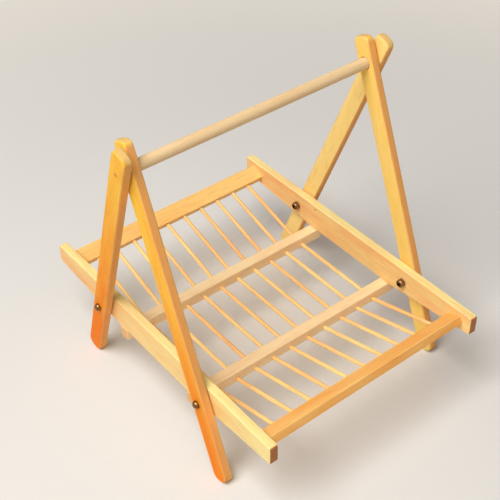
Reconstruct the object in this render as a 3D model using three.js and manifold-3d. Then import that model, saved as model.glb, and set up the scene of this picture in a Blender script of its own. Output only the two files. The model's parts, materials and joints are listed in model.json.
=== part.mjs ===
// Bamboo serving basket.
// A slatted trough hangs between two A-frames of flat bamboo legs that cross on a round carrying dowel.
// Millimetres, +Z up. X runs along the dowel, Y along the side boards, and the floor is Z = 0.

import * as THREE from 'three';
import { mergeVertices } from 'three/addons/utils/BufferGeometryUtils.js';
import Module from 'manifold-3d';

const wasm = await Module();
wasm.setup();

// Side boards: straight rim, level stretch below, and a straight rise to each end
const boardLength = 283;
const boardThickness = 7.4;
const boardMiddleHeight = 25.5;
const boardEndHeight = 16.9;
const boardFlatLength = 102;
const boardRimRadius = 2.5;
const boardFootRadius = 1.4;
const boardBendRadius = 6;
const trayInnerWidth = 196;
const rimHeight = 78.9;

// End rails, tilted to face the trough, with a stub tenon at each end
const railWidth = 14.7;
const railThickness = 7.3;
const railTilt = 26;
const railSetback = 16.1;
const railDrop = 9.9;
const tenonWidth = 8;
const tenonThickness = 3.6;
const tenonLength = 4;

// Bars glued under the level stretch of the boards, flush with their outer faces
const barWidth = 9.8;
const barHeight = 10.8;
const barInset = 0.3;

// Round slats, in a back, a middle and a front row, let into the lower half of the bars.
// The seats in the bars are shallow, so that the sloping holes stay above the underside
const slatCount = 10;
const slatDiameter = 3.4;
const slatEdgeMargin = 16.5;
const slatBarRise = 3.1;
const slatRailSeat = 4.5;
const slatBarSeat = 2.5;

// Legs: cut square and rounded at both ends, with a small level flat to stand on
const legWidth = 15.8;
const legThickness = 7.4;
const legTip = 21.2;
const legTipRadius = 6.2;
const footRadius = 7.4;
const footFlatDepth = 0.45;
const frontLegTopGap = 0.3;
const frontLegPivotGap = 1;
const backLegPivotGap = 0.95;
const legCrossGap = 1.4;

// Carrying dowel and the pins that hold the back legs on its ends
const handleRise = 161.2;
const handleSetback = 2;
const handleDiameter = 9.3;
const handleSeat = 4;
const pinDiameter = 1.6;
const pinHeadDiameter = 3;
const pinHeadThickness = 0.8;
const pinGrip = 10;

// Pivot screws and their cap nuts
const pivotSpread = 134;
const pivotDrop = 12.5;
const screwDiameter = 4;
const screwHeadDiameter = 7.2;
const screwHeadHeight = 4.4;
const screwHeadRim = 1.8;
const capDiameter = 7;
const capHeight = 3.4;
const capRim = 0.9;
const capBore = 1.8;
const sleeveDiameter = 5.4;

// Clearance between pieces that touch, the looser one where a leg turns, and the rounded edges
const fitGap = 0.3;
const turnGap = 0.4;
const arris = 0.9;

// How far a drill runs past the strip it goes through
const drillReach = 30;

// Fineness of the curves
const cornerSteps = 5;
const arrisSteps = 2;
const slatSides = 8;
const holeSides = 20;
const dowelSides = 28;
const turnedSides = 16;
const domeSteps = 4;

// Places that several pieces share
const boardInner = trayInnerWidth / 2;
const boardOuter = boardInner + boardThickness;
const boardMiddle = boardInner + boardThickness / 2;
const boardEnd = boardLength / 2;
const pivotY = pivotSpread / 2;
const pivotZ = rimHeight - pivotDrop;
const handleZ = rimHeight + handleRise;
const pivotDepth = handleZ - pivotZ;
const barY = boardFlatLength / 2 - barInset - barWidth / 2;
const barZ = rimHeight - boardMiddleHeight - fitGap - barHeight / 2;
const railY = boardEnd - railSetback;
const railZ = rimHeight - railDrop;
const railAngle = THREE.MathUtils.degToRad(railTilt);
const slatPitch = (trayInnerWidth - 2 * slatEdgeMargin) / (slatCount - 1);
const slatBarZ = barZ - barHeight / 2 + slatBarRise;

// Inner faces of the legs at the dowel and at their pivot: both pairs are sprung a little sideways
const frontLegTop = boardOuter + frontLegTopGap;
const frontLegPivot = boardOuter + frontLegPivotGap;
const backLegTop = frontLegTop + legThickness + legCrossGap;
const backLegPivot = boardOuter + backLegPivotGap;
const handleReach = backLegTop + handleSeat;

// Finishes
const bamboo = (color, roughness) => new THREE.MeshStandardMaterial({ color, roughness, metalness: 0 });
const paleBamboo = bamboo(0xf0d79a, 0.5);
const honeyBamboo = bamboo(0xe8b665, 0.45);
const amberBamboo = bamboo(0xe8a548, 0.42);
const creamBamboo = bamboo(0xecd9b2, 0.55);
const steel = new THREE.MeshStandardMaterial({ color: 0xb9b1a4, roughness: 0.25, metalness: 1 });

const SIDES = [['left', -1], ['right', 1]];
const ENDS = [['front', -1], ['back', 1]];

// Turns a shape drawn in the side view, and pushed out of it, so that the push runs along X
const SIDE_VIEW = new THREE.Matrix4().makeBasis(
  new THREE.Vector3(0, 1, 0), new THREE.Vector3(0, 0, 1), new THREE.Vector3(1, 0, 0));

const basket = new THREE.Group();
const tray = new THREE.Group();
const frame = new THREE.Group();
const hardware = new THREE.Group();
basket.add(tray, frame, hardware);

function addPiece(group, name, geometry, material) {
  const mesh = new THREE.Mesh(geometry, material);
  mesh.name = name;
  group.add(mesh);
  return mesh;
}

// A closed geometry as a solid that can be joined and cut
function toSolid(geometry) {
  const plain = geometry.clone();
  plain.deleteAttribute('normal');
  plain.deleteAttribute('uv');
  const welded = mergeVertices(plain, 1e-4);
  return new wasm.Manifold(new wasm.Mesh({
    numProp: 3,
    vertProperties: new Float32Array(welded.attributes.position.array),
    triVerts: new Uint32Array(welded.index.array),
  }));
}

function toGeometry(solid) {
  const mesh = solid.getMesh();
  const geometry = new THREE.BufferGeometry();
  geometry.setAttribute('position', new THREE.BufferAttribute(new Float32Array(mesh.vertProperties), 3));
  geometry.setIndex(new THREE.BufferAttribute(new Uint32Array(mesh.triVerts), 1));
  geometry.computeVertexNormals();
  return geometry;
}

function cut(geometry, cutters) {
  let solid = toSolid(geometry);
  for (const cutter of cutters) solid = solid.subtract(toSolid(cutter));
  return toGeometry(solid);
}

// A round rod between two points
function rod(diameter, start, end, sides) {
  const along = end.clone().sub(start);
  const geometry = new THREE.CylinderGeometry(diameter / 2, diameter / 2, along.length(), sides);
  const up = new THREE.Vector3(0, 1, 0);
  geometry.applyQuaternion(new THREE.Quaternion().setFromUnitVectors(up, along.normalize()));
  const middle = start.clone().add(end).multiplyScalar(0.5);
  return geometry.translate(middle.x, middle.y, middle.z);
}

// A rod along X, at one place in the side view
function crossRod(diameter, startX, endX, y, z, sides = holeSides) {
  return rod(diameter, new THREE.Vector3(startX, y, z), new THREE.Vector3(endX, y, z), sides);
}

// An outline of corners, anticlockwise, each rounded from and to a distance along its two edges
function roundedOutline(corners) {
  const outline = new THREE.Shape();
  const toward = (corner, other, distance) => (
    corner.clone().add(other.clone().sub(corner).setLength(distance)));
  corners.forEach(([corner, distance], i) => {
    const start = toward(corner, corners.at(i - 1)[0], distance);
    const end = toward(corner, corners[(i + 1) % corners.length][0], distance);
    if (i === 0) outline.moveTo(start.x, start.y);
    else outline.lineTo(start.x, start.y);
    outline.quadraticCurveTo(corner.x, corner.y, end.x, end.y);
  });
  outline.closePath();
  return outline;
}

// A strip cut to a side-view outline (Y, Z), with rounded arrises, centred on X = 0
function strip(outline, thickness) {
  const depth = thickness - 2 * arris;
  const geometry = new THREE.ExtrudeGeometry(outline, {
    depth,
    bevelThickness: arris,
    bevelSize: arris,
    bevelOffset: -arris,
    bevelSegments: arrisSteps,
    curveSegments: cornerSteps,
  });
  return geometry.translate(0, 0, -depth / 2).applyMatrix4(SIDE_VIEW);
}

// A straight bar along X with a rectangular section (Y wide, Z high) and eased edges
function squareBar(length, width, height) {
  const place = (y, z) => [new THREE.Vector2(y * width / 2, z * height / 2), arris];
  const section = roundedOutline([place(1, -1), place(1, 1), place(-1, 1), place(-1, -1)]);
  const geometry = new THREE.ExtrudeGeometry(section, {
    depth: length, bevelEnabled: false, curveSegments: arrisSteps,
  });
  return geometry.translate(0, 0, -length / 2).applyMatrix4(SIDE_VIEW);
}

// The tenons of an end rail in one block, or the mortises that take them
function tenonBlock(clearance) {
  const length = trayInnerWidth + 2 * (tenonLength + clearance);
  return new THREE.BoxGeometry(length, tenonWidth + 2 * clearance, tenonThickness + 2 * clearance);
}

// Side boards
function boardOutline() {
  const flat = boardFlatLength / 2;
  const place = (y, drop, radius) => [new THREE.Vector2(y, -drop), radius];
  return roundedOutline([
    place(-boardEnd, 0, boardRimRadius),
    place(-boardEnd, boardEndHeight, boardFootRadius),
    place(-flat, boardMiddleHeight, boardBendRadius),
    place(flat, boardMiddleHeight, boardBendRadius),
    place(boardEnd, boardEndHeight, boardFootRadius),
    place(boardEnd, 0, boardRimRadius),
  ]);
}

for (const [side, sign] of SIDES) {
  const mortises = ENDS.map(([, end]) => tenonBlock(fitGap)
    .rotateX(end * railAngle)
    .translate(-sign * boardMiddle, end * railY, -railDrop));
  const holes = ENDS.map(([, end]) => crossRod(
    screwDiameter + 2 * fitGap, -drillReach, drillReach, end * pivotY, -pivotDrop));
  const board = cut(strip(boardOutline(), boardThickness), [...mortises, ...holes]);
  const mesh = addPiece(tray, `side_board_${side}`, board, paleBamboo);
  mesh.position.set(sign * boardMiddle, 0, rimHeight);
}

// A slat row's axis in the side view, from its seat in one piece to its seat in the next
function slatAxis(row) {
  if (row === 'middle') {
    const end = barY - barWidth / 2 + slatBarSeat;
    return [new THREE.Vector2(-end, slatBarZ), new THREE.Vector2(end, slatBarZ)];
  }
  const sign = row === 'back' ? 1 : -1;
  const low = new THREE.Vector2(sign * (barY + barWidth / 2), slatBarZ);
  const high = new THREE.Vector2(
    sign * (railY - Math.cos(railAngle) * railWidth / 2), railZ - Math.sin(railAngle) * railWidth / 2);
  const slope = high.clone().sub(low).normalize();
  return [low.addScaledVector(slope, -slatBarSeat), high.addScaledVector(slope, slatRailSeat)];
}

const slatPlaces = Array.from({ length: slatCount }, (_, i) => (i - (slatCount - 1) / 2) * slatPitch);

// The holes for a row's slats, seen from a piece that stands at the given place
function slatHoles(row, pieceY, pieceZ) {
  const [start, end] = slatAxis(row);
  const slope = end.clone().sub(start).normalize();
  const from = start.clone().addScaledVector(slope, -fitGap);
  const to = end.clone().addScaledVector(slope, fitGap);
  return slatPlaces.map((x) => rod(
    slatDiameter + 2 * fitGap,
    new THREE.Vector3(x, from.x - pieceY, from.y - pieceZ),
    new THREE.Vector3(x, to.x - pieceY, to.y - pieceZ),
    slatSides));
}

for (const row of ['back', 'middle', 'front']) {
  const [start, end] = slatAxis(row);
  const middle = start.clone().add(end).multiplyScalar(0.5);
  slatPlaces.forEach((x, i) => {
    const slat = new THREE.CylinderGeometry(
      slatDiameter / 2, slatDiameter / 2, start.distanceTo(end), slatSides);
    const number = String(i + 1).padStart(2, '0');
    const mesh = addPiece(tray, `${row}_slat_${number}`, slat, paleBamboo);
    mesh.position.set(x, middle.x, middle.y);
    mesh.rotation.x = Math.atan2(end.y - start.y, end.x - start.x);
  });
}

// End rails, and the bars under the boards
for (const [end, sign] of ENDS) {
  const body = toSolid(squareBar(trayInnerWidth - 2 * fitGap, railWidth, railThickness));
  const tilted = toGeometry(body.add(toSolid(tenonBlock(0)))).rotateX(sign * railAngle);
  const rail = cut(tilted, slatHoles(end, sign * railY, railZ));
  addPiece(tray, `${end}_rail`, rail, honeyBamboo).position.set(0, sign * railY, railZ);

  const holes = [...slatHoles(end, sign * barY, barZ), ...slatHoles('middle', sign * barY, barZ)];
  const bar = cut(squareBar(2 * boardOuter, barWidth, barHeight), holes);
  addPiece(tray, `${end}_mid_bar`, bar, honeyBamboo).position.set(0, sign * barY, barZ);
}

// How far a leaning leg reaches below the dowel, so that its lower corner ends just under the floor
function legReach(lean) {
  const upright = Math.cos(lean);
  const slant = Math.abs(Math.sin(lean));
  const rounding = footRadius * upright * slant / (upright + slant);
  return (handleZ + footFlatDepth + rounding - slant * legWidth / 2) / upright;
}

// A leg's side view: straight through the dowel and its pivot
function legOutline(end) {
  const lean = Math.atan2(end * pivotY - handleSetback, pivotDepth);
  const down = new THREE.Vector2(Math.sin(lean), -Math.cos(lean));
  const across = new THREE.Vector2(Math.cos(lean), Math.sin(lean)).multiplyScalar(legWidth / 2);
  const dowelPlace = new THREE.Vector2(handleSetback, handleZ);
  const tip = dowelPlace.clone().addScaledVector(down, -legTip);
  const foot = dowelPlace.clone().addScaledVector(down, legReach(lean));
  return roundedOutline([
    [tip.clone().add(across), legTipRadius], [tip.clone().sub(across), legTipRadius],
    [foot.clone().sub(across), footRadius], [foot.clone().add(across), footRadius],
  ]);
}

// A leg standing at its place, slanted sideways from its place at the dowel to its place at the pivot
function leg(end, sign, topInner, pivotInner) {
  const toe = (topInner - pivotInner) / pivotDepth;
  const slant = new THREE.Matrix4().makeShear(0, 0, 0, 0, sign * toe, 0);
  const middle = topInner + legThickness / 2 - toe * handleZ;
  return strip(legOutline(end), legThickness).applyMatrix4(slant).translate(sign * middle, 0, 0);
}

// What would reach under the floor, sanded off the feet
const belowFloor = new THREE.BoxGeometry(4 * boardOuter, 2 * boardLength, drillReach);
belowFloor.translate(0, 0, -drillReach / 2);

for (const [side, sign] of SIDES) {
  const through = [sign * boardInner, sign * (boardOuter + drillReach)];
  const frontLeg = cut(leg(-1, sign, frontLegTop, frontLegPivot), [
    belowFloor,
    crossRod(handleDiameter + 2 * fitGap, ...through, handleSetback, handleZ),
    crossRod(screwDiameter + 2 * turnGap, ...through, -pivotY, pivotZ),
  ]);
  addPiece(frame, `front_leg_${side}`, frontLeg, amberBamboo);

  const outerTop = backLegTop + legThickness;
  const outside = sign * (outerTop + drillReach);
  const socket = sign * (handleReach + fitGap);
  const headSeat = sign * (outerTop - pinHeadThickness - turnGap);
  const backLeg = cut(leg(1, sign, backLegTop, backLegPivot), [
    belowFloor,
    crossRod(handleDiameter + 2 * turnGap, sign * boardInner, socket, handleSetback, handleZ),
    crossRod(pinDiameter + 2 * turnGap, sign * boardInner, outside, handleSetback, handleZ),
    crossRod(pinHeadDiameter + 2 * turnGap, headSeat, outside, handleSetback, handleZ),
    crossRod(sleeveDiameter + 2 * fitGap, ...through, pivotY, pivotZ),
  ]);
  addPiece(frame, `back_leg_${side}`, backLeg, amberBamboo);
}

// Carrying dowel, with a blind hole in each end for its pin
const pinHoles = SIDES.map(([, sign]) => crossRod(
  pinDiameter + 2 * fitGap, sign * (handleReach - pinGrip - fitGap), sign * (handleReach + drillReach),
  0, 0, turnedSides));
const dowel = cut(crossRod(handleDiameter, -handleReach, handleReach, 0, 0, dowelSides), pinHoles);
addPiece(frame, 'handle_dowel', dowel, creamBamboo).position.set(0, handleSetback, handleZ);

// A turned piece from a profile of radius and height
function turned(profile) {
  return new THREE.LatheGeometry(profile.map(([r, h]) => new THREE.Vector2(r, h)), turnedSides);
}

// A dome as part of a profile: a short upright rim, then a quarter curve up to the axis
function dome(diameter, rim, height) {
  const curve = Array.from({ length: domeSteps }, (_, i) => {
    const angle = (i / domeSteps) * Math.PI / 2;
    return [Math.cos(angle) * diameter / 2, rim + (height - rim) * Math.sin(angle)];
  });
  return [[diameter / 2, 0], ...curve, [0, height]];
}

// A pin with a flat head whose top is height 0
function pinShape(shankLength) {
  const shank = pinDiameter / 2;
  const head = pinHeadDiameter / 2;
  const low = -pinHeadThickness - shankLength;
  return turned([
    [0, low], [shank, low], [shank, -pinHeadThickness], [head, -pinHeadThickness], [head, 0], [0, 0],
  ]);
}

// A domed screw: the head stands on height 0 and the shank runs down from it
function screwShape(shankLength) {
  const shank = screwDiameter / 2;
  return turned([
    [0, -shankLength], [shank, -shankLength], [shank, 0],
    ...dome(screwHeadDiameter, screwHeadRim, screwHeadHeight),
  ]);
}

// A cap nut, bored for the end of a screw's shank
function capNutShape() {
  const bore = screwDiameter / 2 + fitGap;
  return turned([[0, capBore], [bore, capBore], [bore, 0], ...dome(capDiameter, capRim, capHeight)]);
}

// A cap nut with a sleeve that lines the leg's hole
function sleeveNutShape(sleeveLength) {
  const sleeve = sleeveDiameter / 2;
  return turned([
    [0, -sleeveLength], [sleeve, -sleeveLength], [sleeve, 0], ...dome(capDiameter, capRim, capHeight),
  ]);
}

// Lays a turned piece along X, its head towards the given sign
function addTurned(name, shape, sign, x, y, z) {
  const mesh = addPiece(hardware, name, shape, steel);
  mesh.rotation.z = -sign * Math.PI / 2;
  mesh.position.set(x, y, z);
}

// How far a sprung leg's face leans out across half a round seat
const frontLegSlope = (frontLegPivot - frontLegTop) / pivotDepth * capDiameter / 2;
const backLegSlope = (backLegTop - backLegPivot) / pivotDepth * capDiameter / 2;

for (const [side, sign] of SIDES) {
  const headSeat = boardInner - fitGap;
  const frontNutSeat = frontLegPivot + legThickness + fitGap + frontLegSlope;
  const frontShank = frontNutSeat + capBore - fitGap - headSeat;
  addTurned(`front_screw_${side}`, screwShape(frontShank), -sign, sign * headSeat, -pivotY, pivotZ);
  addTurned(`front_cap_nut_${side}`, capNutShape(), sign, sign * frontNutSeat, -pivotY, pivotZ);

  const backNutSeat = backLegPivot + legThickness + fitGap + backLegSlope;
  const sleeveLength = backNutSeat - backLegPivot - backLegSlope;
  addTurned(`back_screw_${side}`, screwShape(boardOuter - headSeat), -sign, sign * headSeat, pivotY, pivotZ);
  addTurned(`back_cap_nut_${side}`, sleeveNutShape(sleeveLength), sign, sign * backNutSeat, pivotY, pivotZ);

  const pinSeat = backLegTop + legThickness;
  const pinShank = pinSeat - pinHeadThickness - (handleReach - pinGrip);
  addTurned(`handle_pin_${side}`, pinShape(pinShank), sign, sign * pinSeat, handleSetback, handleZ);
}

export default basket;
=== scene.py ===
# %% [markdown]
# # A bamboo serving basket
# A shallow trough of thin bamboo rods lies between two boards. Two pairs of flat legs cross on a round
# dowel, and the trough hangs on screws between them.
# The imported solids already hold every size, place and joint. Here each piece is made again with softer
# edges, drilled seats and bamboo grain, exactly where its solid is, and it rides on the same body.
# The solids are loaded first.

# %% Load the imported solids
import json
import math

import bmesh
import bpy
from mathutils import Matrix, Vector


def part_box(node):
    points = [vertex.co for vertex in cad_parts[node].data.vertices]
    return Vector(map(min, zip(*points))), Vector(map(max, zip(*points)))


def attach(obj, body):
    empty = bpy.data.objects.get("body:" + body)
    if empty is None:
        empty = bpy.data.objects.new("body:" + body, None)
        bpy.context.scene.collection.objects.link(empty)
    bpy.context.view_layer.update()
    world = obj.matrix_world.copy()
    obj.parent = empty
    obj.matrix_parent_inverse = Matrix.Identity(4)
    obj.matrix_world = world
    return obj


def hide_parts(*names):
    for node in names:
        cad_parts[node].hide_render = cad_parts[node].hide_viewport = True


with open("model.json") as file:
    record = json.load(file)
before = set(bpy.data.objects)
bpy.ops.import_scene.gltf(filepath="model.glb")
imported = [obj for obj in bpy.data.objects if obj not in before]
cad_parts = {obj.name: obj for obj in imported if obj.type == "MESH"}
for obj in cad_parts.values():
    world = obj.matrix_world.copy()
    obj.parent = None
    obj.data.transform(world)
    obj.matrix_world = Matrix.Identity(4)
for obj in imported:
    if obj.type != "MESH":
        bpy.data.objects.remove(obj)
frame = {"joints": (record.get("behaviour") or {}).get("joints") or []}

scene = bpy.context.scene
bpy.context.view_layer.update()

# %% [markdown]
# ## Camera
# The camera stands in front of the basket, to its left and well above the rim, with a short telephoto lens.
# It could be aimed with a tracking constraint. Three turns, for heading, tilt and a slight roll, are
# plainer, and they say what a photographer would set on the tripod.

# %% Camera
CAMERA_PLACE = Vector((-0.4059, -0.5040, 0.6636))
CAMERA_HEADING = -38.152
CAMERA_TILT = 49.454
CAMERA_ROLL = -0.642
CAMERA_LENS = 76.83


def turned(degrees, axis):
    return Matrix.Rotation(math.radians(degrees), 4, axis)


def put_in_scene(name, data):
    made = bpy.data.objects.new(name, data)
    scene.collection.objects.link(made)
    return made


camera = put_in_scene("camera", bpy.data.cameras.new("camera"))
camera.data.lens = CAMERA_LENS
aim = turned(CAMERA_HEADING, "Z") @ turned(CAMERA_TILT, "X") @ turned(CAMERA_ROLL, "Z")
camera.matrix_world = Matrix.Translation(CAMERA_PLACE) @ aim
scene.camera = camera
print("camera at", tuple(round(c, 3) for c in CAMERA_PLACE))

# %% [markdown]
# ## Lamps
# A large soft lamp hangs above the basket, to its left, so rims and outer faces are bright and the faces
# towards the camera fall into a warmer shade. A weak lamp in front keeps that shade open.
# One sun lamp would be simpler, but its hard shadows would hide the joints.

# %% Lamps
LIGHT_TARGET = Vector((0, 0, 0.12))
SOFTBOX = {"place": (-0.97, -0.11, 1.79), "width": 1.44, "power": 40.0, "colour": (1.0, 0.98, 0.95)}
FILL = {"place": (-0.45, -1.05, 1.45), "width": 1.20, "power": 4.0, "colour": (1.0, 0.93, 0.84)}


def soft_lamp(name, place, width, power, colour):
    """A round soft lamp that looks at the basket."""
    lamp = put_in_scene(name, bpy.data.lights.new(name, "AREA"))
    lamp.data.shape = "DISK"
    lamp.data.size = width
    lamp.data.energy = power
    lamp.data.color = colour
    lamp.location = place
    lamp.rotation_euler = (LIGHT_TARGET - Vector(place)).to_track_quat("-Z", "Y").to_euler()
    print(name, power, "W")


soft_lamp("overhead_softbox", **SOFTBOX)
soft_lamp("front_fill", **FILL)

# %% [markdown]
# ## Helpers for node trees
# Every finish and most repeated pieces below are node trees. They could be drawn by hand in the node
# editor, but then nobody could run this lesson again. Writing them out link by link is long, so one helper
# makes a node, sets its options and fills its sockets with a value or with another node's output.
# Two more wrap the nodes for sums. Others follow where they are first needed.

# %% Helpers for node trees
def add_node(tree, kind, inputs=None, **options):
    made = tree.nodes.new(kind)
    for name, value in options.items():
        setattr(made, name, value)
    for key, value in (inputs or {}).items():
        if isinstance(value, bpy.types.NodeSocket):
            tree.links.new(value, made.inputs[key])
        else:
            made.inputs[key].default_value = value
    return made


def maths(tree, operation, *values):
    return add_node(tree, "ShaderNodeMath", dict(enumerate(values)), operation=operation).outputs[0]


def vector_maths(tree, operation, *values):
    made = add_node(tree, "ShaderNodeVectorMath", dict(enumerate(values)), operation=operation)
    return made.outputs["Value" if operation in ("DOT_PRODUCT", "DISTANCE") else "Vector"]


print("node helpers ready")

# %% [markdown]
# ## Sky
# The sky is dim where it lights the basket, and pale where the camera or a shiny nut looks at it. An evenly
# bright sky would be simpler, but it would wash out the shade between the pieces. The Light Path node tells
# the two kinds of ray apart.

# %% Sky
def srgb(red, green, blue):
    """A colour as it is read on a screen, 0 to 255, turned into the linear values of a shader."""
    shares = [c / 255 for c in (red, green, blue)]
    return [c / 12.92 if c <= 0.04045 else ((c + 0.055) / 1.055) ** 2.4 for c in shares] + [1.0]


SKY_COLOUR = srgb(242, 234, 222)
SKY_LIGHT = 0.16
SKY_SEEN = 0.92


def seen_directly(tree):
    """1 for the rays that the camera or a shiny surface sends out, and 0 for those that only carry light."""
    rays = add_node(tree, "ShaderNodeLightPath").outputs
    seen = maths(tree, "MAXIMUM", rays["Is Camera Ray"], rays["Is Glossy Ray"])
    return maths(tree, "MAXIMUM", seen, rays["Is Transmission Ray"])


scene.world = bpy.data.worlds.new("pale_sky")
scene.world.use_nodes = True
sky = scene.world.node_tree
strength = add_node(sky, "ShaderNodeMix", {0: seen_directly(sky), 2: SKY_LIGHT, 3: SKY_SEEN}).outputs[0]
sky.nodes["Background"].inputs["Color"].default_value = SKY_COLOUR
sky.links.new(strength, sky.nodes["Background"].inputs["Strength"])
scene.view_settings.view_transform = "Standard"
print("sky", SKY_LIGHT, "as light and", SKY_SEEN, "to the eye")

# %% [markdown]
# ## Floor
# The basket stands on a plain pale floor. Far from the basket the floor fades into the sky, as a paper
# sweep does, and close by it keeps its shadows. A curved backdrop would do that too, but only for one side
# of the basket.

# %% Floor
FLOOR_REACH = 3.0
FLOOR_FADE = (0.28, 0.95)
FLOOR_COLOUR = srgb(228, 227, 225)
FLOOR_ROUGHNESS = 0.85


def new_material(name):
    """A material made of nodes, its tree and its main shader."""
    material = bpy.data.materials.new(name)
    material.use_nodes = True
    tree = material.node_tree
    return material, tree, tree.nodes["Principled BSDF"]


def between(tree, value, low, high):
    """Rises softly from 0 to 1 as the value goes from low to high."""
    inputs = {0: value, 1: low, 2: high}
    return add_node(tree, "ShaderNodeMapRange", inputs, interpolation_type="SMOOTHSTEP").outputs[0]


floor_mesh = bpy.data.meshes.new("floor")
corners = [(x * FLOOR_REACH, y * FLOOR_REACH, 0) for x, y in ((-1, -1), (1, -1), (1, 1), (-1, 1))]
floor_mesh.from_pydata(corners, [], [(0, 1, 2, 3)])
floor = put_in_scene("floor", floor_mesh)
floor_material, tree, shader = new_material("pale_floor")
shader.inputs["Base Color"].default_value = FLOOR_COLOUR
shader.inputs["Roughness"].default_value = FLOOR_ROUGHNESS
place = add_node(tree, "ShaderNodeTexCoord").outputs["Object"]
far = between(tree, vector_maths(tree, "DISTANCE", place, (0, 0, 0)), *FLOOR_FADE)
haze = add_node(tree, "ShaderNodeEmission", {"Color": SKY_COLOUR, "Strength": SKY_SEEN}).outputs[0]
faded = add_node(tree, "ShaderNodeMixShader", {
    0: maths(tree, "MULTIPLY", far, seen_directly(tree)), 1: shader.outputs[0], 2: haze})
tree.links.new(faded.outputs[0], tree.nodes["Material Output"].inputs["Surface"])
floor_mesh.materials.append(floor_material)
print("floor", 2 * FLOOR_REACH, "m wide")

# %% [markdown]
# ## Bamboo grain
# A bamboo strip has no growth rings. It shows straight fibres a millimetre wide and several centimetres
# long, short darker dashes where sap tubes were cut, and a slow mottling along the strip.
# All of it runs with the strip, so a pattern on plain object coordinates would lie wrong on a leaning leg.
# Each piece therefore carries an attribute called grain: its own length, width and thickness, in metres.
# The group stretches three noises along the first of these.

# %% Shader group for bamboo grain
FLOAT, VECTOR = "NodeSocketFloat", "NodeSocketVector"
FIBRE_DETAIL = 3.0
MOTTLE_STRETCH = 5.0
MOTTLE_SHARE = 0.6
TONE_RANGE = (0.32, 0.68)
DASH_LENGTH_SHARE = 0.35
DASH_WIDTH_SHARE = 0.45
DASH_DETAIL = 1.0
DASH_RANGE = (0.60, 0.74)
DASH_SINK = -0.5


def new_tree(name, kind, inputs, outputs):
    """A node tree with named sockets, and its input and output nodes."""
    tree = bpy.data.node_groups.new(name, kind)
    for label, socket_type, *value in inputs:
        socket = tree.interface.new_socket(label, in_out="INPUT", socket_type=socket_type)
        if value:
            socket.default_value = value[0]
    for label, socket_type in outputs:
        tree.interface.new_socket(label, in_out="OUTPUT", socket_type=socket_type)
    return tree, tree.nodes.new("NodeGroupInput").outputs, tree.nodes.new("NodeGroupOutput").inputs


def combine(tree, x, y, z):
    return add_node(tree, "ShaderNodeCombineXYZ", {0: x, 1: y, 2: z}).outputs[0]


def noise(tree, vector, detail=2.0):
    return add_node(tree, "ShaderNodeTexNoise", {"Vector": vector, "Scale": 1.0, "Detail": detail}).outputs[0]


def stretched(tree, grain, length, width):
    return vector_maths(tree, "DIVIDE", grain, combine(tree, length, width, width))


grain_group, given, made = new_tree("bamboo_grain", "ShaderNodeTree", [
    ("Grain", VECTOR), ("Fibre Length", FLOAT, 0.05), ("Fibre Width", FLOAT, 0.0010),
    ("Mottle Size", FLOAT, 0.012),
], [("Tone", FLOAT), ("Dashes", FLOAT), ("Height", FLOAT)])
tree = grain_group
fibre_place = stretched(tree, given["Grain"], given["Fibre Length"], given["Fibre Width"])
fibre = noise(tree, fibre_place, FIBRE_DETAIL)
mottle_length = maths(tree, "MULTIPLY", given["Mottle Size"], MOTTLE_STRETCH)
mottle = noise(tree, stretched(tree, given["Grain"], mottle_length, given["Mottle Size"]))
dash_length = maths(tree, "MULTIPLY", given["Fibre Length"], DASH_LENGTH_SHARE)
dash_width = maths(tree, "MULTIPLY", given["Fibre Width"], DASH_WIDTH_SHARE)
dash = noise(tree, stretched(tree, given["Grain"], dash_length, dash_width), DASH_DETAIL)
dashes = between(tree, dash, *DASH_RANGE)
fibre_part = maths(tree, "MULTIPLY", fibre, 1 - MOTTLE_SHARE)
blended = maths(tree, "MULTIPLY_ADD", mottle, MOTTLE_SHARE, fibre_part)
tree.links.new(between(tree, blended, *TONE_RANGE), made["Tone"])
tree.links.new(dashes, made["Dashes"])
tree.links.new(maths(tree, "MULTIPLY_ADD", dashes, DASH_SINK, fibre), made["Height"])
print("group", grain_group.name)

# %% [markdown]
# ## Cut ends, and edges with wear and painted highlight
# Where a strip is cut across, the fibres end as a field of dark dots, and the cut drinks more varnish, so
# it is duller and browner. The group finds these faces by comparing the surface normal with the attribute
# along, the direction in which the piece's fibres run.
# The arrises, the long edges, are paler: partly rubbed by sanding and partly a painted highlight where the
# rounded edge catches the light. The pieces carry an attribute arris, which is 1 in the middle of each
# rounded edge. Painting both would need an image, and this way they follow the shape.

# %% Shader groups for cut ends and for edges with wear and painted highlight
END_FACING = (0.50, 0.88)
PORE_EDGE = (0.42, 0.22)
EDGE_PATCH_WIDTH = 0.004
EDGE_PATCH_RANGE = (0.30, 0.62)


def separate(tree, vector):
    return add_node(tree, "ShaderNodeSeparateXYZ", {0: vector}).outputs


end_group, given, made = new_tree("cut_end", "ShaderNodeTree", [
    ("Grain", VECTOR), ("Along", VECTOR), ("Pore Size", FLOAT, 0.0007),
], [("End", FLOAT), ("Pores", FLOAT)])
tree = end_group
normal = add_node(tree, "ShaderNodeTexCoord").outputs["Normal"]
facing = maths(tree, "ABSOLUTE", vector_maths(tree, "DOT_PRODUCT", normal, given["Along"]))
_, across, thick = separate(tree, given["Grain"])
cells = vector_maths(tree, "DIVIDE", combine(tree, across, thick, 0.0),
                     combine(tree, given["Pore Size"], given["Pore Size"], 1.0))
dots = add_node(tree, "ShaderNodeTexVoronoi", {"Vector": cells, "Scale": 1.0}, voronoi_dimensions="2D")
tree.links.new(between(tree, facing, *END_FACING), made["End"])
tree.links.new(between(tree, dots.outputs["Distance"], *PORE_EDGE), made["Pores"])

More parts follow.
